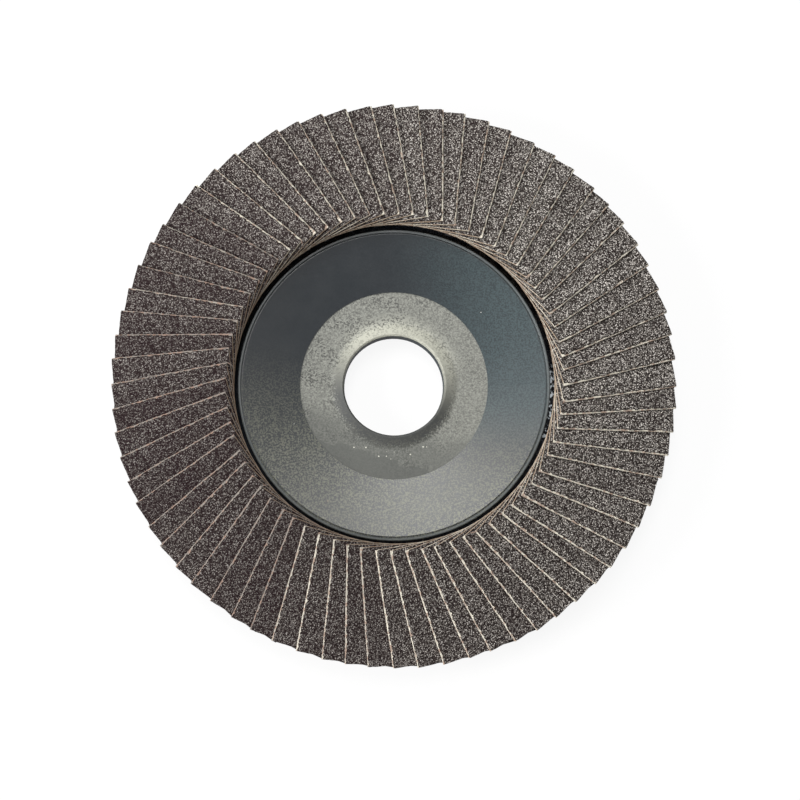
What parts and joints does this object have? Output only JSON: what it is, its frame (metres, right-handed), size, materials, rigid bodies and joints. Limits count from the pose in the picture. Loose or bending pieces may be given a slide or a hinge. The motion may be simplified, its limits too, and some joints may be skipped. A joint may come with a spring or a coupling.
{
  "type": "flap disc",
  "caption": "Abrasive flap disc for an angle grinder: overlapping coated cloth flaps glued in a sloping ring on a moulded plastic backing plate with a sunken hub and plain bore.",
  "frame": {"origin": "on the bore axis, at the back face of the hub, which the disc lies on", "axes": "+Z along the bore axis out of the abrasive side; X and Y across the disc, with the middle line of the first flap over +X"},
  "size_m": [0.125, 0.125, 0.0157],
  "materials": {
    "plate_plastic": "black moulded plastic, smooth dish and spark-textured flange seat",
    "cured_glue": "glossy black cured epoxy",
    "abrasive_cloth": "brown aluminium oxide grain on stiff cotton cloth, with pale cut edges"
  },
  "bodies": {
    "root": {"backing_plate": "plate_plastic", "glue_ring": "cured_glue", "flap_pair_01": "abrasive_cloth", "flap_pair_02": "abrasive_cloth", "flap_pair_03": "abrasive_cloth", "flap_pair_04": "abrasive_cloth", "flap_pair_05": "abrasive_cloth", "flap_pair_06": "abrasive_cloth", "flap_pair_07": "abrasive_cloth", "flap_pair_08": "abrasive_cloth", "flap_pair_09": "abrasive_cloth", "flap_pair_10": "abrasive_cloth", "flap_pair_11": "abrasive_cloth", "flap_pair_12": "abrasive_cloth", "flap_pair_13": "abrasive_cloth", "flap_pair_14": "abrasive_cloth", "flap_pair_15": "abrasive_cloth", "flap_pair_16": "abrasive_cloth", "flap_pair_17": "abrasive_cloth", "flap_pair_18": "abrasive_cloth", "flap_pair_19": "abrasive_cloth", "flap_pair_20": "abrasive_cloth", "flap_pair_21": "abrasive_cloth", "flap_pair_22": "abrasive_cloth", "flap_pair_23": "abrasive_cloth", "flap_pair_24": "abrasive_cloth", "flap_pair_25": "abrasive_cloth", "flap_pair_26": "abrasive_cloth", "flap_pair_27": "abrasive_cloth", "flap_pair_28": "abrasive_cloth", "flap_pair_29": "abrasive_cloth", "flap_pair_30": "abrasive_cloth", "flap_pair_31": "abrasive_cloth", "flap_pair_32": "abrasive_cloth", "flap_pair_33": "abrasive_cloth", "flap_pair_34": "abrasive_cloth", "flap_pair_35": "abrasive_cloth", "flap_pair_36": "abrasive_cloth"}
  },
  "joints": []
}
